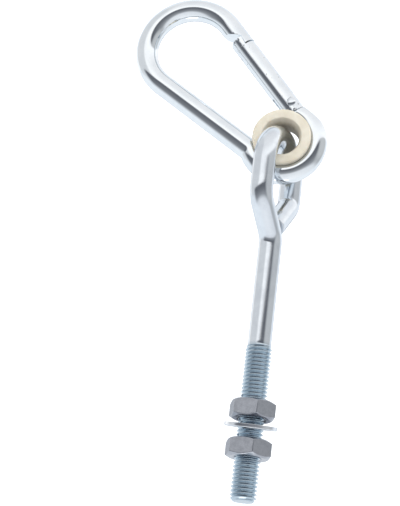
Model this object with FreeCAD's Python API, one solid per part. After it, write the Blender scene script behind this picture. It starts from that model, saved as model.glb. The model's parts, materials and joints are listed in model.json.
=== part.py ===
# Hammock hook: an eye bolt with two nuts and a washer,
# and a sprung carabiner that hangs in the eye on a bush.
# Millimetres. Z runs up the bolt to its free end, the seat of the inner nut is at z = 0,
# and the carabiner lies in the plane y = 0.
import FreeCAD, Part
import math
import os

from FreeCAD import Matrix, Vector

os.makedirs("parts", exist_ok=True)

# Eye bolt
rod_d = 9.0
thread_d = 10.0
thread_pitch = 1.5
thread_depth = 0.9
thread_length = 60.0
thread_end_chamfer = 1.2
thread_run_out = 0.8
end_above_seat = 31.0
eye_bend_r = 14.5
eye_turn_deg = 16.0
shoulder_top_below_seat = 69.3
crown_below_shoulder = 45.2
shoulder_deg = 50.0
shoulder_bend_r = 8.0
far_bend_deg = 45.0
far_bend_r = 6.0
far_end_below_shoulder = 8.1147
far_end_offset = 0.9

# Nuts and washer
nut_across_flats = 16.0
nut_height = 7.1
nut_chamfer_deg = 30.0
nut_face_share = 0.9
nut_turn_deg = 17.0
nut_bore_clearance = 0.06
nut_mouth_depth = 0.6
nut_gap = 7.7
washer_od = 20.0
washer_bore_d = 11.0
washer_thickness = 1.5
washer_height = 2.5
washer_lean_deg = 10.5
washer_tilt_deg = 2.0
washer_edge_r = 0.3

# Carabiner bar
wire_d = 9.0
big_bend_r = 18.75
loop_r = 13.2
centre_distance = 56.2
spine_offset = 10.7
gate_offset = 11.2
swing_deg = 47.2

# Gate and its hinge
gate_d = 8.8
rivet_place = 11.1
rivet_offset = 0.7
rivet_d = 3.4
rivet_clearance = 0.05
rivet_proud = 0.25
gate_tail = 4.1
tail_gap = 0.5
hinge_flat_start = -3.0
hinge_flat_out = 6.3
hinge_flat_end_out = 4.0
tang_thickness = 3.2
tang_end_r = 3.2
tang_side_gap = 0.2
slot_inner_reach = 7.4
slot_outer_reach = 4.6
parting_place = 43.8
parting_gap = 0.6

# Latch: a tongue on the gate that hooks into a recess in the nose
tongue_length = 3.7
tongue_root_out = 0.0
tongue_tip_out = 0.55
latch_gap = 0.3
recess_slope = 1.0

# Spring and plunger in the gate
spring_bore_d = 4.4
spring_bore_length = 17.0
spring_od = 4.0
spring_wire_d = 0.6
spring_turns = 7
plunger_head_d = 4.0
plunger_head_length = 1.6
plunger_stem_d = 2.4
plunger_tang_gap = 0.1

# Bush
bush_clearance = 0.15
bush_land_d = 13.1
bush_land_length = 4.0
bush_mouth_d = 16.0
bush_flange_d = 23.4
bush_flange_thickness = 1.9
bush_flange_gap = 0.35
bush_shift = -0.6
bush_lift = 1.3
bush_rim_edge = 0.5

X = Vector(1, 0, 0)
Y = Vector(0, 1, 0)
Z = Vector(0, 0, 1)
ORIGIN = Vector(0, 0, 0)

rod_r = rod_d / 2
thread_r = thread_d / 2
wire_r = wire_d / 2
gate_r = gate_d / 2
thread_start = end_above_seat - thread_length


def swept(edges, radius, start, direction):
    """A round bar of the given radius along a chain of edges."""
    ring = Part.Wire([Part.Circle(start, direction, radius).toShape()])
    return Part.Wire(edges).makePipeShell([ring], True, True)


def turned(points):
    """A ring about Z from a closed outline of (radius, height) points."""
    outline = Part.makePolygon([Vector(r, 0, h) for r, h in points + points[:1]])
    return Part.Face(outline).revolve(ORIGIN, Z, 360)


def prism(points, thickness):
    """A flat piece in the XY plane, half its thickness on each side of it."""
    outline = Part.makePolygon([Vector(x, y, -thickness / 2) for x, y in points + points[:1]])
    return Part.Face(outline).extrude(Vector(0, 0, thickness))


# Eye bolt: the rod's middle line in the eye's own plane, as (offset from the bolt axis, height)
shoulder = math.radians(shoulder_deg)
top_z = -shoulder_top_below_seat
crown_z = top_z - crown_below_shoulder
bend_z = crown_z + eye_bend_r
shoulder_run = (eye_bend_r - 2 * shoulder_bend_r * (1 - math.cos(shoulder))) / math.sin(shoulder)
arc_side = shoulder_bend_r * (1 - math.cos(shoulder))
arc_drop = shoulder_bend_r * math.sin(shoulder)
low_side = arc_side + shoulder_run * math.sin(shoulder)
low_z = top_z - arc_drop - shoulder_run * math.cos(shoulder)
strand_z = low_z - arc_drop
half = shoulder / 2
far_turn = math.radians(far_bend_deg)
far_side = eye_bend_r - far_bend_r * (1 - math.cos(far_turn))
far_run = (far_side - far_end_offset) / math.sin(far_turn)
far_top = top_z - far_end_below_shoulder - far_run * math.cos(far_turn)
far_z = far_top - far_bend_r * math.sin(far_turn)


def eye_point(offset, height):
    return Vector(0, -offset, height)


def eye_arc(a, b, c):
    return Part.Arc(eye_point(*a), eye_point(*b), eye_point(*c)).toShape()


def eye_line(a, b):
    return Part.makeLine(eye_point(*a), eye_point(*b))


upper_mid = (
    shoulder_bend_r * (1 - math.cos(half)),
    top_z - shoulder_bend_r * math.sin(half),
)
lower_mid = (
    eye_bend_r - shoulder_bend_r * (1 - math.cos(half)),
    strand_z + shoulder_bend_r * math.sin(half),
)
far_mid = (
    -eye_bend_r + far_bend_r * (1 - math.cos(far_turn / 2)),
    far_z + far_bend_r * math.sin(far_turn / 2),
)
far_tip = (-far_end_offset, far_top + far_run * math.cos(far_turn))
rod_path = [
    eye_line((0, thread_start + thread_run_out), (0, top_z)),
    eye_arc((0, top_z), upper_mid, (arc_side, top_z - arc_drop)),
    eye_line((arc_side, top_z - arc_drop), (low_side, low_z)),
    eye_arc((low_side, low_z), lower_mid, (eye_bend_r, strand_z)),
    eye_line((eye_bend_r, strand_z), (eye_bend_r, bend_z)),
    eye_arc((eye_bend_r, bend_z), (0, crown_z), (-eye_bend_r, bend_z)),
]
far_path = [
    eye_line((-eye_bend_r, bend_z), (-eye_bend_r, far_z)),
    eye_arc((-eye_bend_r, far_z), far_mid, (-far_side, far_top)),
    eye_line((-far_side, far_top), far_tip),
]
rod = swept(rod_path, rod_r, eye_point(0, thread_start + thread_run_out), Z)
far_rod = swept(far_path, rod_r, eye_point(-eye_bend_r, bend_z), Z)
# The thread is drawn as a row of plain ridges, one to each turn.
thread_outline = [(0, thread_start), (rod_r, thread_start)]
ridge_count = int((thread_length - thread_run_out - thread_end_chamfer) / thread_pitch)
for i in range(ridge_count + 1):
    crest_z = thread_start + thread_run_out + i * thread_pitch
    thread_outline.append((thread_r, crest_z))
    thread_outline.append((thread_r - thread_depth, crest_z + thread_pitch / 2))
thread_outline += [(thread_r - thread_end_chamfer, end_above_seat), (0, end_above_seat)]
thread = turned(thread_outline)
# The rod's cut end closes the eye: it meets the shoulder and is welded to it.
eye_bolt = rod.fuse([far_rod, thread]).removeSplitter()
eye_bolt.rotate(ORIGIN, Z, eye_turn_deg)
eye_bolt.exportStep("parts/eye_bolt.step")


# Nuts: hexagon, both faces chamfered, the thread drawn as a plain bore just wider than the bolt
def hex_nut(seat_z):
    corner_r = nut_across_flats / math.sqrt(3)
    flat_r = nut_across_flats / 2 * nut_face_share
    slope = math.tan(math.radians(nut_chamfer_deg))
    cone_drop = (corner_r - flat_r) * slope
    corners = []
    for i in range(6):
        angle = math.radians(60 * i)
        corners.append((corner_r * math.cos(angle), corner_r * math.sin(angle)))
    block = prism(corners, nut_height)
    block.translate(Vector(0, 0, nut_height / 2))
    rounded = turned(
        [
            (0, 0),
            (flat_r, 0),
            (corner_r, cone_drop),
            (corner_r, nut_height - cone_drop),
            (flat_r, nut_height),
            (0, nut_height),
        ]
    )
    bore_r = thread_r + nut_bore_clearance
    mouth_r = bore_r + nut_mouth_depth
    hole = turned(
        [
            (0, -1),
            (mouth_r + 1, -1),
            (bore_r, nut_mouth_depth),
            (bore_r, nut_height - nut_mouth_depth),
            (mouth_r + 1, nut_height + 1),
            (0, nut_height + 1),
        ]
    )
    nut = block.common(rounded).cut(hole)
    nut.rotate(ORIGIN, Z, -90 - nut_turn_deg)
    nut.translate(Vector(0, 0, seat_z))
    return nut


inner_nut = hex_nut(-nut_height)
inner_nut.exportStep("parts/inner_nut.step")
outer_nut = hex_nut(nut_gap)
outer_nut.exportStep("parts/outer_nut.step")

# Washer: loose on the thread, leaning against the inner nut
washer = Part.makeCylinder(washer_od / 2, washer_thickness)
washer = washer.cut(Part.makeCylinder(washer_bore_d / 2, washer_thickness))
rims = [e for e in washer.Edges if abs(e.BoundBox.XLength - washer_od) < 0.01 and e.BoundBox.ZMin > 0.1]
washer = washer.makeFillet(washer_edge_r, rims[:1])
washer.translate(Vector(0, 0, -washer_thickness / 2))
washer.rotate(ORIGIN, Y, washer_tilt_deg)
washer.rotate(ORIGIN, X, -washer_lean_deg)
washer.translate(Vector(0, 0, washer_height))
washer.exportStep("parts/flat_washer.step")

# Carabiner: drawn flat with the loop's centre at the origin, X to the wide end, Y to the gate side
gate_lean = math.asin((big_bend_r - gate_offset) / centre_distance)
spine_lean = math.asin((big_bend_r - spine_offset) / centre_distance)
leg_along = Vector(math.cos(gate_lean), math.sin(gate_lean), 0)
leg_out = Vector(-math.sin(gate_lean), math.cos(gate_lean), 0)
spine_along = Vector(math.cos(spine_lean), -math.sin(spine_lean), 0)
spine_out = Vector(-math.sin(spine_lean), -math.cos(spine_lean), 0)
big_centre = Vector(centre_distance, 0, 0)
leg_length = centre_distance * math.cos(gate_lean)


def leg_point(along, out):
    """A point on the gate's side: how far along from the loop, how far out from the bar's middle."""
    return leg_out * (gate_offset + out) + leg_along * along


spine_top = big_centre + spine_out * big_bend_r
spine_chord = math.sqrt(loop_r**2 - spine_offset**2)
spine_end = spine_out * spine_offset + spine_along * spine_chord
loop_far = Vector(-loop_r, 0, 0)
nose_end = parting_place + parting_gap / 2
shoulder_place = rivet_place - gate_tail - tail_gap
loop_start_along = shoulder_place + wire_r
loop_start_out = math.sqrt(loop_r**2 - loop_start_along**2)
loop_start = leg_out * loop_start_out + leg_along * loop_start_along
loop_heading = leg_out * loop_start_along - leg_along * loop_start_out
upper_path = [
    Part.makeLine(leg_point(nose_end, 0), leg_point(leg_length, 0)),
    Part.Arc(leg_point(leg_length, 0), big_centre + X * big_bend_r, spine_top).toShape(),
    Part.makeLine(spine_top, spine_end),
]
lower_path = [Part.Arc(loop_start, loop_far, spine_end).toShape()]


def on_leg(shape):
    """Move a shape drawn with X along the leg and Y outward to the gate's side."""
    m = Matrix()
    m.A11, m.A21, m.A31 = leg_along.x, leg_along.y, 0
    m.A12, m.A22, m.A32 = leg_out.x, leg_out.y, 0
    m.A14, m.A24 = leg_out.x * gate_offset, leg_out.y * gate_offset
    return shape.transformed(m, True)


# The bar is creased where the straight spine turns sharply into the loop.
upper_bar = swept(upper_path, wire_r, leg_point(nose_end, 0), leg_along)
lower_bar = swept(lower_path, wire_r, loop_start, loop_heading)
crease = Part.makeSphere(wire_r, spine_end)
# The loop's end is cut square for the gate and ground flat on its outer side.
deep = 2 * wire_d
end_trim = prism(
    [
        (shoulder_place, -deep),
        (shoulder_place + deep, -deep),
        (shoulder_place + deep, deep),
        (hinge_flat_start, deep),
        (hinge_flat_start, hinge_flat_out),
        (shoulder_place, hinge_flat_end_out),
    ],
    deep,
)
bar = upper_bar.fuse([lower_bar.cut(on_leg(end_trim)), crease])

# The tang of the bar's end, round the rivet
tang = prism(
    [
        (shoulder_place - 1, rivet_offset - tang_end_r),
        (rivet_place, rivet_offset - tang_end_r),
        (rivet_place, rivet_offset + tang_end_r),
        (shoulder_place - 1, rivet_offset + tang_end_r),
    ],
    tang_thickness,
)
tang_end = Vector(rivet_place, rivet_offset, -tang_thickness / 2)
tang = tang.fuse(Part.makeCylinder(tang_end_r, tang_thickness, tang_end))
tang_hole_r = rivet_d / 2 + rivet_clearance
tang = tang.cut(Part.makeCylinder(tang_hole_r, tang_thickness, tang_end))

# The nose's recess, open to the inside of the carabiner, its far wall sloping away
tongue_end = parting_place + tongue_length
recess_end = tongue_end + latch_gap
recess_tip_out = tongue_tip_out + latch_gap
recess = prism(
    [
        (parting_place - 1, -deep),
        (recess_end + recess_slope * (recess_tip_out + deep), -deep),
        (recess_end, recess_tip_out),
        (parting_place, tongue_root_out + latch_gap),
        (parting_place - 1, tongue_root_out + latch_gap),
    ],
    deep,
)
carabiner_body = bar.cut(on_leg(recess)).fuse(on_leg(tang)).removeSplitter()

# Gate: a round bar, forked over the tang, with a tongue whose outer face rises to its tip
gate_start = rivet_place - gate_tail
gate_end = parting_place - parting_gap / 2
bar_long = Part.makeCylinder(gate_r, tongue_end - gate_start, Vector(gate_start, 0, 0), X)
plain = Part.makeCylinder(gate_r, gate_end - gate_start, Vector(gate_start, 0, 0), X)
tail_clear = Part.makeBox(gate_tail, gate_r + rivet_offset, gate_d, Vector(gate_start, -gate_r, -gate_r))
tail_round = Part.makeCylinder(gate_tail, gate_d, Vector(rivet_place, rivet_offset, -gate_r))
plain = plain.cut(tail_clear.cut(tail_round))
tongue = prism(
    [
        (gate_end - 1, -deep),
        (tongue_end, -deep),
        (tongue_end, tongue_tip_out),
        (gate_end, tongue_root_out),
        (gate_end - 1, tongue_root_out),
    ],
    deep,
)
latch = bar_long.common(tongue)
slot_inner = rivet_place + slot_inner_reach
slot_outer = rivet_place + slot_outer_reach
slot_width = tang_thickness + 2 * tang_side_gap
slot = prism(
    [
        (gate_start - 1, -gate_d),
        (slot_inner, -gate_d),
        (slot_inner, -gate_r),
        (slot_outer, gate_r),
        (slot_outer, gate_d),
        (gate_start - 1, gate_d),
    ],
    slot_width,
)
bore_start = (slot_inner + slot_outer) / 2
spring_bore = Part.makeCylinder(spring_bore_d / 2, spring_bore_length, Vector(bore_start - 1, 0, 0), X)
rivet_hole = Part.makeCylinder(rivet_d / 2, 2 * gate_d, Vector(rivet_place, rivet_offset, -gate_d))
gate = plain.fuse(latch).cut(slot).cut(spring_bore).cut(rivet_hole).removeSplitter()

# Rivet: its ends stand a little proud of the gate
rivet_half = gate_r + rivet_proud
rivet = turned(
    [
        (0, -rivet_half),
        (rivet_d / 2 - rivet_proud, -rivet_half),
        (rivet_d / 2, -rivet_half + rivet_proud),
        (rivet_d / 2, rivet_half - rivet_proud),
        (rivet_d / 2 - rivet_proud, rivet_half),
        (0, rivet_half),
    ]
)
rivet.translate(Vector(rivet_place, rivet_offset, 0))

# Plunger and spring, on the gate's middle line
plunger_tip = rivet_place + tang_end_r + plunger_tang_gap
spring_seat = bore_start + plunger_head_length
plunger = Part.makeCylinder(plunger_stem_d / 2, bore_start - plunger_tip, Vector(plunger_tip, 0, 0), X)
plunger = plunger.fuse(
    Part.makeCylinder(plunger_head_d / 2, plunger_head_length, Vector(bore_start, 0, 0), X)
).removeSplitter()
spring_end = bore_start - 1 + spring_bore_length
coil_r = (spring_od - spring_wire_d) / 2
coil_length = spring_end - spring_seat - spring_wire_d
coil_line = Part.makeHelix(coil_length / spring_turns, coil_length, coil_r)
coil_ring = Part.Wire([Part.Circle(Vector(coil_r, 0, 0), Y, spring_wire_d / 2).toShape()])
spring = Part.Wire(coil_line.Edges).makePipeShell([coil_ring], True, True)
spring.rotate(ORIGIN, Y, 90)
spring.translate(Vector(spring_seat + spring_wire_d / 2, 0, 0))

# Bush: a grooved ring that sits in the loop, its bore flared at both mouths
groove_r = wire_r + bush_clearance
flange_under = wire_r + bush_flange_gap
flange_top = flange_under + bush_flange_thickness
flange_r = bush_flange_d / 2
land_half = bush_land_length / 2
land_r = bush_land_d / 2
mouth_r = bush_mouth_d / 2
groove_low_r = loop_r - groove_r
groove_rise = groove_r * math.sin(math.acos((loop_r - flange_r) / groove_r))


def bush_line(a, b):
    return Part.makeLine(Vector(a[0], 0, a[1]), Vector(b[0], 0, b[1]))


def bush_arc(a, b, c):
    return Part.Arc(Vector(a[0], 0, a[1]), Vector(b[0], 0, b[1]), Vector(c[0], 0, c[1])).toShape()


def below(point):
    """The same point on the bush's lower half."""
    return (point[0], -point[1])


# each mouth widens along an arc that starts straight off the land
flare_out = mouth_r - land_r
flare_up = flange_top - land_half
flare_radius = (flare_out**2 + flare_up**2) / (2 * flare_out)
flare_angle = math.asin(flare_up / flare_radius) / 2
groove_edge = (flange_r, groove_rise)
rim = (flange_r, flange_top - bush_rim_edge)
face_edge = (flange_r - bush_rim_edge, flange_top)
mouth = (mouth_r, flange_top)
flare = (
    land_r + flare_radius * (1 - math.cos(flare_angle)),
    land_half + flare_radius * math.sin(flare_angle),
)
land = (land_r, land_half)
bush_outline = [
    bush_arc(groove_edge, (groove_low_r, 0), below(groove_edge)),
    bush_line(below(groove_edge), below(rim)),
    bush_line(below(rim), below(face_edge)),
    bush_line(below(face_edge), below(mouth)),
    bush_arc(below(mouth), below(flare), below(land)),
    bush_line(below(land), land),
    bush_arc(land, flare, mouth),
    bush_line(mouth, face_edge),
    bush_line(face_edge, rim),
    bush_line(rim, groove_edge),
]
bush = Part.Face(Part.Wire(bush_outline)).revolve(ORIGIN, Z, 360)


# Hang the carabiner in the eye: swung about the bush's own axis, which runs along Y
def hung(shape):
    swing = math.radians(swing_deg)
    m = Matrix()
    m.A11, m.A21, m.A31 = math.sin(swing), 0, -math.cos(swing)
    m.A12, m.A22, m.A32 = -math.cos(swing), 0, -math.sin(swing)
    m.A13, m.A23, m.A33 = 0, 1, 0
    m.A14, m.A34 = bush_shift, crown_z + bush_lift
    return shape.transformed(m, True)


hung(carabiner_body).exportStep("parts/carabiner_body.step")
hung(on_leg(gate)).exportStep("parts/gate.step")
hung(on_leg(rivet)).exportStep("parts/gate_rivet.step")
hung(on_leg(plunger)).exportStep("parts/gate_plunger.step")
hung(on_leg(spring)).exportStep("parts/gate_spring.step")
hung(bush).exportStep("parts/bush.step")
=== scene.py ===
import bpy
import json
import math
from mathutils import Matrix, Vector


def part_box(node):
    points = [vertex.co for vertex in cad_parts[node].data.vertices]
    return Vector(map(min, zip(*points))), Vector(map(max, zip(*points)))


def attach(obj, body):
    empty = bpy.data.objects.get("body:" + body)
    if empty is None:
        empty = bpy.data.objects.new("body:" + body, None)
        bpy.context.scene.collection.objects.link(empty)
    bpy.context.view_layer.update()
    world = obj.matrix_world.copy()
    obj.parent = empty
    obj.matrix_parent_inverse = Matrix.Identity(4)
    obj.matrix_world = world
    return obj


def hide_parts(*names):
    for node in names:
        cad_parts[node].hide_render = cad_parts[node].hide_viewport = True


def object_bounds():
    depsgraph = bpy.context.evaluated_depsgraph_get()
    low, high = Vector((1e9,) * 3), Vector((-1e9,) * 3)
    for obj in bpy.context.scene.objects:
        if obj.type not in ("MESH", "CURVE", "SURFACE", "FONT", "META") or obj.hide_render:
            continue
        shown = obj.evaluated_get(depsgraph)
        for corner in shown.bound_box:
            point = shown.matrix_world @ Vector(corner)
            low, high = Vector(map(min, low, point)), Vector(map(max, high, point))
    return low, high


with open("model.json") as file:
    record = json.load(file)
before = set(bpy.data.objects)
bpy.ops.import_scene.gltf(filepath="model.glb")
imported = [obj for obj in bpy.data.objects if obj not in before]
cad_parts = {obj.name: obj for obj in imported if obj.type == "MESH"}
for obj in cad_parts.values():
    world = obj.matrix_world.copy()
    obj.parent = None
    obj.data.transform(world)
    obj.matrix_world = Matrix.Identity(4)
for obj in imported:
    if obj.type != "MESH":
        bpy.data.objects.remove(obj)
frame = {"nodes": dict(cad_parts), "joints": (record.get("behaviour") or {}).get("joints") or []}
cad_low, cad_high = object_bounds()
joints = {joint["name"]: joint for joint in frame["joints"]}

# Eye bolt
# A 9 mm steel rod, bent cold into an eye below a cranked shoulder, with its cut end welded to the shoulder.
# The free end has a rolled M10 thread. The whole bolt is barrel plated with bright zinc.
mm = 0.001
bolt_low, bolt_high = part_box("eye_bolt")
rod_r = 4.5 * mm
eye_bend_r = 14.5 * mm
eye_turn = math.radians(16)
shoulder_top = -69.3 * mm
shoulder_turn = math.radians(50)
shoulder_bend_r = 8 * mm
far_turn = math.radians(45)
far_bend_r = 6 * mm
far_rise = 6.5 * mm
far_end_offset = 0.9 * mm
cut_edge = 0.3 * mm
thread_r = 5 * mm
thread_root_r = 4.08 * mm
thread_pitch = 1.5 * mm
thread_length = 60 * mm
thread_end_chamfer = 1.2 * mm
thread_run_out = 1.6 * mm
thread_lead = 0.3 * mm
thread_neck = 0.2 * mm
thread_trim = 0.5 * mm
thread_steps = 48
thread_top = bolt_high.z
thread_start = thread_top - thread_length
bend_z = bolt_low.z + rod_r + eye_bend_r

bar_sides = 64
bend_step = math.radians(4)
ring_gap = 1.2 * mm
weld = 0.001 * mm
# shapes that are combined differ by a shave, so that their faces don't coincide
shave = 0.01 * mm
along_x = Vector((1, 0, 0))
along_z = Vector((0, 0, 1))


def only(piece):
    """Deselect everything else and make this piece the active one."""
    bpy.ops.object.select_all(action="DESELECT")
    piece.select_set(True)
    bpy.context.view_layer.objects.active = piece


def start_bar(name, place, radius, turn=(0, 0, 0)):
    """Open edit mode on a ring across the bar, the first end of it."""
    bpy.ops.object.select_all(action="DESELECT")
    bpy.ops.mesh.primitive_circle_add(vertices=bar_sides, radius=radius, location=place, rotation=turn)
    bar = bpy.context.object
    bar.name = name
    bpy.ops.object.transform_apply(location=True, rotation=True, scale=True)
    bpy.ops.object.mode_set(mode="EDIT")
    bpy.ops.mesh.select_all(action="SELECT")
    return bar


def run(step):
    """Draw the bar's end out straight in short even pieces."""
    pieces = max(2, round(step.length / ring_gap))
    for _ in range(pieces):
        bpy.ops.mesh.extrude_region_move(TRANSFORM_OT_translate={"value": step / pieces})


def bend(centre, axis, angle):
    """Bend the bar's end round a centre. The operator counts its angle clockwise."""
    steps = max(3, round(abs(angle) / bend_step))
    bpy.ops.mesh.spin(steps=steps, angle=-angle, center=centre, axis=axis)


def close_bar(bar):
    """Cap both ends and turn the faces outwards."""
    bpy.ops.mesh.select_all(action="SELECT")
    bpy.ops.mesh.fill_holes(sides=0)
    bpy.ops.mesh.normals_make_consistent(inside=False)
    bpy.ops.object.mode_set(mode="OBJECT")
    return bar


def draw(name, points):
    """Open edit mode on a line through the points, drawn out from a single vertex."""
    bpy.ops.object.select_all(action="DESELECT")
    bpy.ops.mesh.primitive_plane_add(size=mm)
    line = bpy.context.object
    line.name = name
    bpy.ops.object.mode_set(mode="EDIT")
    bpy.ops.mesh.select_all(action="SELECT")
    bpy.ops.mesh.merge(type="CENTER")
    bpy.ops.transform.translate(value=Vector(points[0]))
    for before, after in zip(points, points[1:]):
        bpy.ops.mesh.extrude_region_move(TRANSFORM_OT_translate={"value": Vector(after) - Vector(before)})
    return line


def turned(name, outline, steps=96):
    """A piece turned about Z from an outline of (radius, height) points that ends where it starts."""
    piece = draw(name, [(r, 0, z) for r, z in outline])
    bpy.ops.mesh.select_all(action="SELECT")
    bpy.ops.mesh.spin(steps=steps, angle=2 * math.pi, center=(0, 0, 0), axis=along_z)
    bpy.ops.mesh.select_all(action="SELECT")
    bpy.ops.mesh.remove_doubles(threshold=weld)
    bpy.ops.mesh.normals_make_consistent(inside=False)
    bpy.ops.object.mode_set(mode="OBJECT")
    return piece


def combine(piece, other, operation, crosses_itself=False):
    """Join a shape to a piece, cut it out of it, or keep what they share. The shape is then removed."""
    only(piece)
    change = piece.modifiers.new("combine", "BOOLEAN")
    change.operation = operation
    change.solver = "EXACT"
    change.use_self = crosses_itself
    change.object = other
    bpy.ops.object.modifier_apply(modifier=change.name)
    bpy.data.objects.remove(other)


def soften(piece, width, sharp=40):
    """Break the sharp edges by a small width and shade the rest smooth."""
    only(piece)
    edges = piece.modifiers.new("edges", "BEVEL")
    edges.width = width
    edges.segments = 3
    edges.limit_method = "ANGLE"
    edges.angle_limit = math.radians(sharp)
    bpy.ops.object.modifier_apply(modifier=edges.name)
    bpy.ops.object.shade_smooth_by_angle(angle=math.radians(sharp - 5))


def even_normals(piece):
    """Let the large faces decide how the small ones beside them are shaded."""
    only(piece)
    normals = piece.modifiers.new("normals", "WEIGHTED_NORMAL")
    normals.keep_sharp = True
    bpy.ops.object.modifier_apply(modifier=normals.name)


shoulder_drop = shoulder_bend_r * math.sin(shoulder_turn)
shoulder_side = shoulder_bend_r * (1 - math.cos(shoulder_turn))
shoulder_run = (eye_bend_r - 2 * shoulder_side) / math.sin(shoulder_turn)
shoulder_step = Vector((0, -math.sin(shoulder_turn), -math.cos(shoulder_turn))) * shoulder_run
strand_z = shoulder_top - 2 * shoulder_drop + shoulder_step.z
far_side = eye_bend_r - far_bend_r * (1 - math.cos(far_turn))
far_step = Vector((0, -math.sin(far_turn), math.cos(far_turn)))
far_step *= (far_side - far_end_offset) / math.sin(far_turn)

# the rod is drawn in the plane of the eye, then the eye is turned to its place about the bolt
eye_bolt = start_bar("zinc_eye_bolt", (0, 0, thread_start + 2 * thread_run_out), thread_root_r)
bpy.ops.mesh.extrude_region_move(TRANSFORM_OT_translate={"value": (0, 0, -2 * thread_run_out)})
bpy.ops.transform.resize(value=(rod_r / thread_root_r, rod_r / thread_root_r, 1))
run(along_z * (shoulder_top - thread_start))
bend((0, -shoulder_bend_r, shoulder_top), along_x, -shoulder_turn)
run(shoulder_step)
bend((0, shoulder_bend_r - eye_bend_r, strand_z), along_x, shoulder_turn)
run(along_z * (bend_z - strand_z))
bend((0, 0, bend_z), along_x, math.pi)
run(along_z * far_rise)
bend((0, eye_bend_r - far_bend_r, bend_z + far_rise), along_x, far_turn)
run(far_step)
close_bar(eye_bolt)
soften(eye_bolt, cut_edge)

# one turn of the thread, from root over crest to root, is wound up the bolt and trimmed to its blank
root_flat = thread_pitch / 12
crest_flat = thread_pitch / 8
crest_round = 0.05 * mm
crest_low = (thread_pitch - crest_flat) / 2
thread_profile = [
    (thread_root_r, 0),
    (thread_root_r + crest_round, root_flat),
    (thread_r - crest_round, crest_low - crest_round),
    (thread_r, crest_low + crest_round),
    (thread_r, thread_pitch - crest_low - crest_round),
    (thread_r - crest_round, thread_pitch - crest_low + crest_round),
    (thread_root_r + crest_round, thread_pitch - root_flat),
    (thread_root_r, thread_pitch),
]
wound_start = thread_start - 2 * thread_pitch
wound_turns = math.ceil(thread_length / thread_pitch) + 4
thread = draw("thread", [(r, 0, wound_start + z) for r, z in thread_profile])
bpy.ops.object.mode_set(mode="OBJECT")
winding = thread.modifiers.new("winding", "SCREW")
winding.axis = "Z"
winding.screw_offset = thread_pitch
winding.iterations = wound_turns
winding.steps = thread_steps
winding.render_steps = thread_steps
bpy.ops.object.modifier_apply(modifier=winding.name)
bpy.ops.object.mode_set(mode="EDIT")
bpy.ops.mesh.select_all(action="SELECT")
bpy.ops.mesh.remove_doubles(threshold=weld)
low_cut = (0, 0, thread_start - thread_trim)
bpy.ops.mesh.bisect(plane_co=low_cut, plane_no=along_z, use_fill=True, clear_inner=True)
bpy.ops.mesh.select_all(action="SELECT")
high_cut = (0, 0, thread_top + thread_trim)
bpy.ops.mesh.bisect(plane_co=high_cut, plane_no=along_z, use_fill=True, clear_outer=True)
bpy.ops.mesh.select_all(action="SELECT")
bpy.ops.mesh.normals_make_consistent(inside=False)
bpy.ops.object.mode_set(mode="OBJECT")
blank = turned(
    "blank",
    [
        (0, thread_start - thread_lead),
        (rod_r - thread_neck, thread_start - thread_lead),
        (thread_r + shave, thread_start + thread_run_out),
        (thread_r + shave, thread_top - thread_end_chamfer),
        (thread_r - thread_end_chamfer, thread_top),
        (0, thread_top),
        (0, thread_start - thread_lead),
    ],
)
combine(thread, blank, "INTERSECT")
combine(eye_bolt, thread, "UNION", crosses_itself=True)
only(eye_bolt)
bpy.ops.object.shade_smooth_by_angle(angle=math.radians(32))
eye_bolt.matrix_world = Matrix.Rotation(eye_turn, 4, "Z")
bpy.ops.object.transform_apply(location=True, rotation=True, scale=True)


def colour(hex_code):
    """An sRGB hex colour as linear red, green, blue and alpha."""
    shares = [int(hex_code[i : i + 2], 16) / 255 for i in (1, 3, 5)]
    linear = [s / 12.92 if s <= 0.04045 else ((s + 0.055) / 1.055) ** 2.4 for s in shares]
    return (*linear, 1)


def add_node(tree, kind, links=(), values=(), **settings):
    """Add a node, set its properties and sockets by name or number, and link outputs to its inputs."""
    made = tree.nodes.new(kind)
    for name, value in settings.items():
        if hasattr(made, name):
            setattr(made, name, value)
        else:
            made.inputs[name.replace("_", " ")].default_value = value
    for socket, value in values:
        made.inputs[socket].default_value = value
    for output, socket in links:
        tree.links.new(output, made.inputs[socket])
    return made


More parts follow.
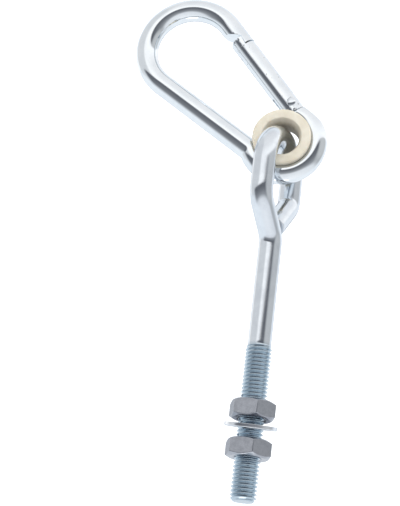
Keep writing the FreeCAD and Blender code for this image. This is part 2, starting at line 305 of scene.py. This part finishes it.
def bright_steel(
    name, light, dark, smooth, rough, cloud_mm, grain_mm, grain_depth_mm, blue_above=None, pit_mm=None
):
    """Steel, plated or bare: a near mirror whose tint and gloss drift in soft clouds, over its grain, which
    is drawn coarser than it is so that it shows. The passivation may be blue above a height, and the plate
    may have a few small dull pits."""
    made = bpy.data.materials.new(name)
    made.use_nodes = True
    tree = made.node_tree
    surface = tree.nodes["Principled BSDF"]
    surface.inputs["Metallic"].default_value = 1
    place = add_node(tree, "ShaderNodeTexCoord")
    clouds = add_node(
        tree, "ShaderNodeTexNoise", [(place.outputs["Object"], "Vector")],
        Scale=1 / (cloud_mm * mm), Detail=3.0, Roughness=0.6,
    )
    tint = add_node(tree, "ShaderNodeValToRGB", [(clouds.outputs["Fac"], "Fac")])
    tint.color_ramp.elements[0].position = 0.35
    tint.color_ramp.elements[0].color = colour(dark)
    tint.color_ramp.elements[1].position = 0.6
    tint.color_ramp.elements[1].color = colour(light)
    shade = tint.outputs["Color"]
    if blue_above is not None:
        parts = add_node(tree, "ShaderNodeSeparateXYZ", [(place.outputs["Object"], "Vector")])
        share = add_node(
            tree, "ShaderNodeMapRange", [(parts.outputs["Z"], "Value")],
            From_Min=blue_above - mm, From_Max=blue_above + mm, To_Max=0.85,
        )
        bluer = add_node(
            tree, "ShaderNodeMix", [(share.outputs["Result"], "Factor"), (shade, 6)],
            [(7, colour("#b4c4cf"))], data_type="RGBA",
        )
        shade = bluer.outputs[2]
    if pit_mm is not None:
        pits = add_node(
            tree, "ShaderNodeTexNoise", [(place.outputs["Object"], "Vector")],
            Scale=1 / (pit_mm * mm), Detail=1.0,
        )
        share = add_node(
            tree, "ShaderNodeMapRange", [(pits.outputs["Fac"], "Value")],
            From_Min=0.70, From_Max=0.74, To_Max=0.7,
        )
        pitted = add_node(
            tree, "ShaderNodeMix", [(share.outputs["Result"], "Factor"), (shade, 6)],
            [(7, colour("#7b7f86"))], data_type="RGBA",
        )
        shade = pitted.outputs[2]
    gloss = add_node(
        tree, "ShaderNodeMapRange", [(clouds.outputs["Fac"], "Value")],
        From_Min=0.3, From_Max=0.7, To_Min=rough, To_Max=smooth,
    )
    grain = add_node(
        tree, "ShaderNodeTexNoise", [(place.outputs["Object"], "Vector")],
        Scale=1 / (grain_mm * mm), Detail=2.0, Roughness=0.5,
    )
    relief = add_node(
        tree, "ShaderNodeBump", [(grain.outputs["Fac"], "Height")],
        Strength=1.0, Distance=grain_depth_mm * mm,
    )
    tree.links.new(shade, surface.inputs["Base Color"])
    tree.links.new(gloss.outputs["Result"], surface.inputs["Roughness"])
    tree.links.new(relief.outputs["Normal"], surface.inputs["Normal"])
    return made


# the plated rod mirrors softly, and its passivation looks bluer on the thread
bolt_zinc = bright_steel(
    "bright_zinc_on_bent_rod", "#dfe4e9", "#d8dde3", smooth=0.12, rough=0.17,
    cloud_mm=5, grain_mm=0.6, grain_depth_mm=0.002, blue_above=thread_start,
)
eye_bolt.data.materials.clear()
eye_bolt.data.materials.append(bolt_zinc)
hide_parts("eye_bolt")
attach(eye_bolt, "bolt")

# Nuts
# Two cold formed M10 hexagon nuts, chamfered on both faces and zinc plated, on either side of the washer.
# The inner nut is the seat that carries the hook, and the outer nut clamps it.
nut_across_flats = 16 * mm
nut_turn = math.radians(17)
nut_chamfer = math.radians(30)
nut_face_share = 0.9
nut_bore_clearance = 0.06 * mm
nut_bore_r = thread_r + nut_bore_clearance
nut_mouth = 0.6 * mm
nut_edge = 0.25 * mm
nut_margin = 0.1 * mm
# how far a shape reaches past the piece that it cuts, or into the one that it joins
over = 1 * mm

# the plate on the pressed nuts looks duller and greyer than on the rod
nut_zinc = bright_steel(
    "bright_zinc_on_cold_formed_nut", "#adb0b7", "#a4a7ae", smooth=0.18, rough=0.24,
    cloud_mm=2.2, grain_mm=0.5, grain_depth_mm=0.002,
)


def hex_nut(name, node, body):
    """A hexagon cut by a double cone and bored, in the place of its node."""
    low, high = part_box(node)
    height = high.z - low.z
    corner_r = nut_across_flats / math.sqrt(3)
    face_r = nut_across_flats / 2 * nut_face_share
    slope = math.tan(nut_chamfer)
    tip_r = face_r - over / slope
    side_r = corner_r + nut_margin
    side_drop = (side_r - face_r) * slope
    mouth_r = nut_bore_r + nut_mouth + over
    bpy.ops.object.select_all(action="DESELECT")
    bpy.ops.mesh.primitive_cylinder_add(
        vertices=6, radius=corner_r, depth=height, location=(0, 0, (low.z + high.z) / 2)
    )
    nut = bpy.context.object
    nut.name = name
    bpy.ops.object.transform_apply(location=True, rotation=True, scale=True)
    chamfered = turned(
        "chamfered",
        [
            (0, low.z - over),
            (tip_r, low.z - over),
            (side_r, low.z + side_drop),
            (side_r, high.z - side_drop),
            (tip_r, high.z + over),
            (0, high.z + over),
            (0, low.z - over),
        ],
    )
    combine(nut, chamfered, "INTERSECT")
    bore = turned(
        "bore",
        [
            (0, low.z - over),
            (mouth_r, low.z - over),
            (nut_bore_r, low.z + nut_mouth),
            (nut_bore_r, high.z - nut_mouth),
            (mouth_r, high.z + over),
            (0, high.z + over),
            (0, low.z - over),
        ],
    )
    combine(nut, bore, "DIFFERENCE")
    soften(nut, nut_edge, sharp=20)
    even_normals(nut)
    nut.matrix_world = Matrix.Rotation(-nut_turn, 4, "Z")
    bpy.ops.object.transform_apply(location=True, rotation=True, scale=True)
    nut.data.materials.clear()
    nut.data.materials.append(nut_zinc)
    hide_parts(node)
    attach(nut, body)


hex_nut("zinc_inner_nut", "inner_nut", "bolt")
hex_nut("zinc_outer_nut", "outer_nut", "outer_nut")

# Washer
# A plain M10 washer stamped from 1.5 mm sheet, rounded on the die side and zinc plated.
# It is loose on the thread between the nuts and leans against the inner one.
washer_r = 10 * mm
washer_bore_r = 5.5 * mm
washer_half = 0.75 * mm
washer_height = 2.5 * mm
washer_lean = math.radians(-10.5)
washer_tilt = math.radians(2)
washer_round = 0.4 * mm
washer_edge = 0.15 * mm
washer = turned(
    "zinc_washer",
    [
        (washer_bore_r, -washer_half),
        (washer_r, -washer_half),
        (washer_r, washer_half - washer_round),
        (washer_r - washer_round * 0.3, washer_half - washer_round * 0.3),
        (washer_r - washer_round, washer_half),
        (washer_bore_r, washer_half),
        (washer_bore_r, -washer_half),
    ],
)
soften(washer, washer_edge)
even_normals(washer)
washer.matrix_world = (
    Matrix.Translation((0, 0, washer_height))
    @ Matrix.Rotation(washer_lean, 4, "X")
    @ Matrix.Rotation(washer_tilt, 4, "Y")
)
bpy.ops.object.transform_apply(location=True, rotation=True, scale=True)
# the plate on stamped sheet is bright and even
washer_zinc = bright_steel(
    "bright_zinc_on_stamped_washer", "#e3e6ea", "#dadde2", smooth=0.14, rough=0.2,
    cloud_mm=3, grain_mm=0.5, grain_depth_mm=0.002,
)
washer.data.materials.append(washer_zinc)
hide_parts("flat_washer")
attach(washer, "bolt")

# Carabiner body
# A 9 mm steel bar bent into a pear, with a small loop pinched off at the narrow end for the bush.
# One end is milled to a tang for the gate's rivet, the other is recessed for the gate's latch.
wire_r = 4.5 * mm
big_bend_r = 18.75 * mm
loop_r = 13.2 * mm
centre_distance = 56.2 * mm
spine_offset = 10.7 * mm
gate_offset = 11.2 * mm
pinch_r = 5 * mm
rivet_place = 11.1 * mm
rivet_offset = 0.7 * mm
gate_tail = 4.1 * mm
tail_gap = 0.5 * mm
hinge_flat_start = -3 * mm
hinge_flat_out = 6.3 * mm
hinge_flat_end_out = 4 * mm
tang_thickness = 3.2 * mm
tang_end_r = 3.2 * mm
parting_place = 43.8 * mm
parting_gap = 0.6 * mm
gate_r = 4.4 * mm
tongue_length = 3.7 * mm
tongue_end = parting_place + tongue_length
tongue_root_out = 0 * mm
tongue_tip_out = 0.55 * mm
latch_gap = 0.3 * mm
recess_slope = 1.0
rivet_r = 1.7 * mm
rivet_clearance = 0.05 * mm
milled_edge = 0.2 * mm

# the carabiner is drawn flat, its loop about the origin, X to the wide end and Y to the gate,
# and is then hung in the eye
swing = math.radians(47.2)
hung = Matrix(
    (
        (math.sin(swing), -math.cos(swing), 0),
        (0, 0, 1),
        (-math.cos(swing), -math.sin(swing), 0),
    )
).to_4x4()
hung.translation = Vector(joints["carabiner_swing"]["pos_m"])
gate_lean = math.asin((big_bend_r - gate_offset) / centre_distance)
spine_lean = math.asin((big_bend_r - spine_offset) / centre_distance)
leg_along = Vector((math.cos(gate_lean), math.sin(gate_lean), 0))
leg_out = Vector((-math.sin(gate_lean), math.cos(gate_lean), 0))
spine_along = Vector((math.cos(spine_lean), -math.sin(spine_lean), 0))
spine_out = Vector((-math.sin(spine_lean), -math.cos(spine_lean), 0))
on_leg = Matrix.Translation(leg_out * gate_offset) @ Matrix.Rotation(gate_lean, 4, "Z")
across_leg = (0, math.pi / 2, gate_lean)


def leg_point(along):
    """A point on the middle line of the gate's leg of the flat carabiner."""
    return leg_out * gate_offset + leg_along * along


def plate(name, outline, thickness):
    """A flat shape on the gate's leg, half its thickness on each side of the carabiner's middle plane."""
    points = [(x, y, -thickness / 2) for x, y in outline]
    piece = draw(name, points)
    bpy.ops.mesh.select_all(action="SELECT")
    bpy.ops.mesh.edge_face_add()
    bpy.ops.mesh.extrude_region_move(TRANSFORM_OT_translate={"value": (0, 0, thickness)})
    bpy.ops.mesh.select_all(action="SELECT")
    bpy.ops.mesh.normals_make_consistent(inside=False)
    bpy.ops.object.mode_set(mode="OBJECT")
    piece.matrix_world = on_leg
    bpy.ops.object.transform_apply(location=True, rotation=True, scale=True)
    return piece


def arc(centre, radius, start_deg, stop_deg, steps=24):
    """Points of an arc in a plate's outline."""
    angles = [math.radians(start_deg + (stop_deg - start_deg) * i / steps) for i in range(steps + 1)]
    return [(centre[0] + radius * math.cos(a), centre[1] + radius * math.sin(a)) for a in angles]


def hang(piece):
    """Swing a piece that was drawn flat to its place in the eye."""
    only(piece)
    piece.matrix_world = hung
    bpy.ops.object.transform_apply(location=True, rotation=True, scale=True)


nose_end = parting_place + parting_gap / 2
shoulder_place = rivet_place - gate_tail - tail_gap
big_centre = Vector((centre_distance, 0, 0))
pinch_along = math.sqrt((loop_r + pinch_r) ** 2 - (spine_offset + pinch_r) ** 2)
pinch_turn = math.acos((spine_offset + pinch_r) / (loop_r + pinch_r))
pinch_centre = spine_out * (spine_offset + pinch_r) + spine_along * pinch_along
spine_length = centre_distance * math.cos(spine_lean) - pinch_along
leg_length = centre_distance * math.cos(gate_lean)

loop_end_turn = math.asin((shoulder_place + wire_r) / loop_r)
body = start_bar("zinc_carabiner_body", leg_point(nose_end), wire_r, across_leg)
run(leg_along * (leg_length - nose_end))
bend(big_centre, along_z, -(math.pi + gate_lean + spine_lean))
run(-spine_along * spine_length)
bend(pinch_centre, along_z, pinch_turn)
bend((0, 0, 0), along_z, -(math.pi - gate_lean - spine_lean + pinch_turn + loop_end_turn))
close_bar(body)
deep = 2 * wire_r
end_trim = [
    (shoulder_place, -deep),
    (shoulder_place + 2 * deep, -deep),
    (shoulder_place + 2 * deep, 2 * deep),
    (hinge_flat_start, 2 * deep),
    (hinge_flat_start, hinge_flat_out),
    (shoulder_place, hinge_flat_end_out),
]
combine(body, plate("end_trim", end_trim + end_trim[:1], 4 * wire_r), "DIFFERENCE")
rivet_centre = (rivet_place, rivet_offset)
tang_root = shoulder_place - over
tang = [(tang_root, rivet_offset - tang_end_r)]
tang += arc(rivet_centre, tang_end_r, -90, 90)
tang += [(tang_root, rivet_offset + tang_end_r)]
combine(body, plate("tang", tang + tang[:1], tang_thickness), "UNION")
hole = arc(rivet_centre, rivet_r + rivet_clearance, 0, 360, 48)
combine(body, plate("hole", hole, 4 * wire_r), "DIFFERENCE")
recess_end = tongue_end + latch_gap
recess_tip_out = tongue_tip_out + latch_gap
recess = [
    (parting_place - over, -deep),
    (recess_end + recess_slope * (recess_tip_out + deep), -deep),
    (recess_end, recess_tip_out),
    (parting_place, tongue_root_out + latch_gap),
    (parting_place - over, tongue_root_out + latch_gap),
]
combine(body, plate("recess", recess + recess[:1], 4 * wire_r), "DIFFERENCE")
soften(body, milled_edge)
even_normals(body)
hang(body)
# the bar is smooth under its plate, so it mirrors sharply
carabiner_zinc = bright_steel(
    "bright_zinc_on_polished_bar", "#e8ecef", "#e2e7eb", smooth=0.07, rough=0.10,
    cloud_mm=6, grain_mm=0.7, grain_depth_mm=0.001,
)
body.data.materials.append(carabiner_zinc)
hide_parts("carabiner_body")
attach(body, "carabiner")

# Gate
# A straight 8.8 mm bar, forked at one end over the body's tang and milled at the other to a hooked tongue.
# It is drilled for the spring and plunger that shut it, and plated like the body.
gate_start = rivet_place - gate_tail
gate_end = parting_place - parting_gap / 2
tang_side_gap = 0.2 * mm
slot_width = tang_thickness + 2 * tang_side_gap
slot_inner_reach = 7.4 * mm
slot_outer_reach = 4.6 * mm
slot_inner = rivet_place + slot_inner_reach
slot_outer = rivet_place + slot_outer_reach
spring_bore_r = 2.2 * mm
spring_bore_length = 17 * mm
gate = start_bar("zinc_gate", leg_point(gate_start), gate_r, across_leg)
run(leg_along * (gate_end - gate_start))
close_bar(gate)
corner = [(rivet_place, -gate_r - over)]
corner += arc(rivet_centre, gate_tail, -90, -180)
corner += [(gate_start - over, rivet_offset), (gate_start - over, -gate_r - over)]
combine(gate, plate("corner", corner + corner[:1], 4 * gate_r), "DIFFERENCE")
latch = start_bar("latch", leg_point(gate_end - over), gate_r - shave, across_leg)
run(leg_along * (tongue_end - gate_end + over))
close_bar(latch)
tongue = [
    (gate_end - 2 * over, -deep),
    (tongue_end + over, -deep),
    (tongue_end + over, tongue_tip_out),
    (tongue_end, tongue_tip_out),
    (gate_end, tongue_root_out),
    (gate_end - 2 * over, tongue_root_out),
]
combine(latch, plate("tongue", tongue + tongue[:1], 4 * gate_r), "INTERSECT")
combine(gate, latch, "UNION")
slot = [
    (gate_start - over, -deep),
    (slot_inner, -deep),
    (slot_inner, -gate_r),
    (slot_outer, gate_r),
    (slot_outer, deep),
    (gate_start - over, deep),
]
combine(gate, plate("slot", slot + slot[:1], slot_width), "DIFFERENCE")
bore_start = (slot_inner + slot_outer) / 2 - over
bore = start_bar("bore", leg_point(bore_start), spring_bore_r, across_leg)
run(leg_along * spring_bore_length)
close_bar(bore)
combine(gate, bore, "DIFFERENCE")
rivet_hole = arc(rivet_centre, rivet_r, 0, 360, 48)
combine(gate, plate("rivet_hole", rivet_hole, 4 * gate_r), "DIFFERENCE")
soften(gate, milled_edge)
even_normals(gate)
hang(gate)
# the same plate as on the bar, with a few small dull specks
gate_zinc = bright_steel(
    "bright_zinc_on_milled_gate", "#e8ecef", "#e2e7eb", smooth=0.07, rough=0.10,
    cloud_mm=6, grain_mm=0.7, grain_depth_mm=0.001, pit_mm=1.6,
)
gate.data.materials.append(gate_zinc)
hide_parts("gate")
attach(gate, "gate")

# Gate rivet
# A 3.4 mm steel pin through the gate's fork and the tang, its ends peened into low domes.
# It turns with the gate.
rivet_proud = 0.25 * mm
rivet_half = gate_r + rivet_proud
rivet_dome = 0.35 * mm
rivet = turned(
    "zinc_gate_rivet",
    [
        (0, -rivet_half),
        (rivet_r * 0.45, -rivet_half + rivet_dome * 0.1),
        (rivet_r * 0.8, -rivet_half + rivet_dome * 0.45),
        (rivet_r, -rivet_half + rivet_dome),
        (rivet_r, rivet_half - rivet_dome),
        (rivet_r * 0.8, rivet_half - rivet_dome * 0.45),
        (rivet_r * 0.45, rivet_half - rivet_dome * 0.1),
        (0, rivet_half),
        (0, -rivet_half),
    ],
    steps=48,
)
only(rivet)
bpy.ops.object.shade_smooth_by_angle(angle=math.radians(50))
rivet.matrix_world = on_leg @ Matrix.Translation((*rivet_centre, 0))
bpy.ops.object.transform_apply(location=True, rotation=True, scale=True)
hang(rivet)
rivet.data.materials.append(carabiner_zinc)
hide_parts("gate_rivet")
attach(rivet, "gate")

# Gate spring and plunger
# A small coil of drawn spring steel in the gate's bore pushes a turned steel plunger against the tang.
# Both are shut in the gate, and only the plunger's tip can be seen through the slot.

# bare drawn steel is darker and duller than the plate
spring_steel = bright_steel(
    "drawn_spring_steel", "#a8abb0", "#85888e", smooth=0.3, rough=0.45,
    cloud_mm=1, grain_mm=0.3, grain_depth_mm=0.004,
)
for node in ("gate_spring", "gate_plunger"):
    cad_piece = frame["nodes"][node]
    cad_piece.data.materials.clear()
    cad_piece.data.materials.append(spring_steel)

# Bush
# A grooved ring of cream natural nylon, moulded in one piece and snapped into the carabiner's loop.
# Its bore flares at both mouths, so that the steel eye beds in it and swings without grinding.
bush_r = 11.7 * mm
bush_clearance = 0.15 * mm
bush_flange_gap = 0.35 * mm
bush_flange_thickness = 1.9 * mm
bush_groove_r = wire_r + bush_clearance
bush_half = wire_r + bush_flange_gap + bush_flange_thickness
bush_land_r = 6.55 * mm
bush_land_half = 2 * mm
bush_mouth_r = 8 * mm
bush_rim_edge = 0.5 * mm
bush_edge = 0.2 * mm
groove_edge_z = math.sqrt(bush_groove_r**2 - (loop_r - bush_r) ** 2)
groove_edge_deg = math.degrees(math.asin(groove_edge_z / bush_groove_r))
flare_out = bush_mouth_r - bush_land_r
flare_up = bush_half - bush_land_half
flare_r = (flare_out**2 + flare_up**2) / (2 * flare_out)
flare_deg = math.degrees(math.asin(flare_up / flare_r))
flare_centre = bush_land_r + flare_r
outline = arc((loop_r, 0), bush_groove_r, 180 - groove_edge_deg, 180 + groove_edge_deg)
outline += [(bush_r, -bush_half + bush_rim_edge), (bush_r - bush_rim_edge, -bush_half)]
outline += arc((flare_centre, -bush_land_half), flare_r, 180 + flare_deg, 180, 8)
outline += arc((flare_centre, bush_land_half), flare_r, 180, 180 - flare_deg, 8)
outline += [(bush_r - bush_rim_edge, bush_half), (bush_r, bush_half - bush_rim_edge)]
outline += outline[:1]
bush = turned("nylon_bush", outline, steps=128)
soften(bush, bush_edge, sharp=30)
hang(bush)
# natural nylon is a waxy cream that light enters a little, with a moulded grain, drawn coarser to show
nylon_cloud_mm = 4
nylon_grain_mm = 0.5
nylon_grain_depth_mm = 0.01
nylon = bpy.data.materials.new("cream_moulded_nylon")
nylon.use_nodes = True
tree = nylon.node_tree
surface = tree.nodes["Principled BSDF"]
surface.inputs["IOR"].default_value = 1.53
surface.inputs["Subsurface Weight"].default_value = 0.15
surface.inputs["Subsurface Radius"].default_value = (1.2 * mm, 0.8 * mm, 0.5 * mm)
place = add_node(tree, "ShaderNodeTexCoord")
clouds = add_node(
    tree, "ShaderNodeTexNoise", [(place.outputs["Object"], "Vector")],
    Scale=1 / (nylon_cloud_mm * mm), Detail=3.0,
)
tint = add_node(tree, "ShaderNodeValToRGB", [(clouds.outputs["Fac"], "Fac")])
tint.color_ramp.elements[0].position = 0.3
tint.color_ramp.elements[0].color = colour("#c6bdaa")
tint.color_ramp.elements[1].position = 0.7
tint.color_ramp.elements[1].color = colour("#d2cbbb")
grain = add_node(
    tree, "ShaderNodeTexNoise", [(place.outputs["Object"], "Vector")],
    Scale=1 / (nylon_grain_mm * mm), Detail=2.0,
)
gloss = add_node(
    tree, "ShaderNodeMapRange", [(grain.outputs["Fac"], "Value")],
    From_Min=0.3, From_Max=0.7, To_Min=0.38, To_Max=0.55,
)
relief = add_node(
    tree, "ShaderNodeBump", [(grain.outputs["Fac"], "Height")],
    Strength=1.0, Distance=nylon_grain_depth_mm * mm,
)
tree.links.new(tint.outputs["Color"], surface.inputs["Base Color"])
tree.links.new(gloss.outputs["Result"], surface.inputs["Roughness"])
tree.links.new(relief.outputs["Normal"], surface.inputs["Normal"])
bush.data.materials.append(nylon)
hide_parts("bush")
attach(bush, "carabiner")

# Floor, light and camera
# A wide white lit floor under the hanging hook. The steel mirrors a pale tent with one dark band round it
# and a few soft cards, which draw the lines on the plate. The camera is turned over, thread down.
floor_drop = 150 * mm
floor_width = 60
floor_glow = 0.6
bpy.ops.object.select_all(action="DESELECT")
bpy.ops.mesh.primitive_plane_add(size=floor_width, location=(0, 0, cad_low.z - floor_drop))
floor = bpy.context.object
floor.name = "floor"
bpy.ops.object.transform_apply(location=True, rotation=True, scale=True)
floor.visible_glossy = False
floor_paint = bpy.data.materials.new("white_lit_floor")
floor_paint.use_nodes = True
surface = floor_paint.node_tree.nodes["Principled BSDF"]
surface.inputs["Base Color"].default_value = colour("#f4f5f6")
surface.inputs["Roughness"].default_value = 0.9
surface.inputs["Emission Color"].default_value = (1, 1, 1, 1)
surface.inputs["Emission Strength"].default_value = floor_glow
floor.data.materials.append(floor_paint)

camera_turn = math.radians(9.77)
camera_rise = math.radians(18.2)
camera_roll = math.radians(187.0)
camera_target = Vector((0.0276, 0.0024, -0.0653))
camera_distance = 0.59
camera_sensor_mm = 36
camera_lens_mm = 106.7
camera = bpy.data.objects.new("camera", bpy.data.cameras.new("camera"))
bpy.context.scene.collection.objects.link(camera)
camera.data.sensor_width = camera_sensor_mm
camera.data.lens = camera_lens_mm
stand = Matrix.Rotation(-camera_turn, 4, "Z") @ Matrix.Rotation(math.pi / 2 - camera_rise, 4, "X")
camera.matrix_world = (
    Matrix.Translation(camera_target)
    @ stand
    @ Matrix.Rotation(camera_roll, 4, "Z")
    @ Matrix.Translation((0, 0, camera_distance))
)
bpy.context.scene.camera = camera

tent_strength = 1.25
tent = bpy.data.worlds.new("white_tent")
tent.use_nodes = True
tree = tent.node_tree
bpy.context.scene.world = tent
bpy.context.scene.view_settings.view_transform = "Standard"
dark_side = Vector((-0.25, 0, 0.968)).normalized()
pale_side = Vector((0.36, 0.93, 0.1)).normalized()
grey_side = Vector((0.86, -0.31, -0.4)).normalized()
dim_side = Vector((-0.94, -0.15, -0.31)).normalized()
behind = Vector((0.161, 0.936, -0.313)).normalized()
bright_top = Vector((0.034, 0.201, 0.978)).normalized()
place = add_node(tree, "ShaderNodeTexCoord")


def cover(below, blend, shade, direction, rim, full):
    """Lay a soft card over the tent round a direction. It starts at the cosine rim and is whole at full."""
    facing = add_node(
        tree, "ShaderNodeVectorMath", [(place.outputs["Generated"], 0)], [(1, direction)],
        operation="DOT_PRODUCT",
    )
    share = add_node(
        tree, "ShaderNodeMapRange", [(facing.outputs["Value"], "Value")],
        interpolation_type="SMOOTHSTEP", From_Min=rim, From_Max=full,
    )
    mixed = add_node(
        tree, "ShaderNodeMix", [(share.outputs["Result"], "Factor"), (below, 6)], [(7, shade)],
        data_type="RGBA", blend_type=blend,
    )
    return mixed.outputs[2]


facing = add_node(
    tree, "ShaderNodeVectorMath", [(place.outputs["Generated"], 0)], [(1, dark_side)],
    operation="DOT_PRODUCT",
)
height = add_node(tree, "ShaderNodeMath", [(facing.outputs["Value"], 0)], operation="ARCSINE")
share = add_node(
    tree, "ShaderNodeMapRange", [(height.outputs["Value"], "Value")],
    From_Min=-math.pi / 2, From_Max=math.pi / 2,
)
cloth = add_node(tree, "ShaderNodeValToRGB", [(share.outputs["Result"], "Fac")])
# degrees towards the dark side, and the cloth's red, green and blue there
bands = [
    (-90, 0.70, 0.70, 0.71),
    (-40, 0.82, 0.82, 0.83),
    (-22, 1.0, 1.0, 1.0),
    (-16.5, 0.95, 0.95, 0.96),
    (-11.5, 0.10, 0.105, 0.12),
    (8, 0.17, 0.178, 0.195),
    (24, 0.28, 0.29, 0.31),
    (38, 0.70, 0.72, 0.75),
    (90, 0.85, 0.87, 0.90),
]
stops = cloth.color_ramp.elements
for number, (degrees, red, green, blue) in enumerate(bands):
    stop = stops[number] if number < 2 else stops.new(1)
    stop.position = 0.5 + degrees / 180
    stop.color = (red, green, blue, 1)
shades = cover(cloth.outputs["Color"], "LIGHTEN", (0.80, 0.84, 0.88, 1), pale_side, -0.25, 0.3)
shades = cover(shades, "LIGHTEN", (0.50, 0.51, 0.52, 1), dim_side, 0.72, 0.95)
shades = cover(shades, "DARKEN", (0.64, 0.65, 0.665, 1), grey_side, 0.7, 0.85)
shades = cover(shades, "DARKEN", (0.40, 0.43, 0.48, 1), behind, 0.85, 0.97)
shades = cover(shades, "LIGHTEN", (1.8, 1.8, 1.8, 1), bright_top, 0.955, 0.985)
sky = tree.nodes["Background"]
sky.inputs["Strength"].default_value = tent_strength
tree.links.new(shades, sky.inputs["Color"])

lamp_size = 0.5
lamp_power = 3
lamp_distance = 0.8
lamp_turn = math.radians(25)
lamp = bpy.data.objects.new("soft_panel", bpy.data.lights.new("soft_panel", "AREA"))
bpy.context.scene.collection.objects.link(lamp)
lamp.data.size = lamp_size
lamp.data.energy = lamp_power
lamp.visible_glossy = False
lamp.matrix_world = (
    Matrix.Translation(camera_target)
    @ stand
    @ Matrix.Rotation(lamp_turn, 4, "X")
    @ Matrix.Translation((0, 0, lamp_distance))
)
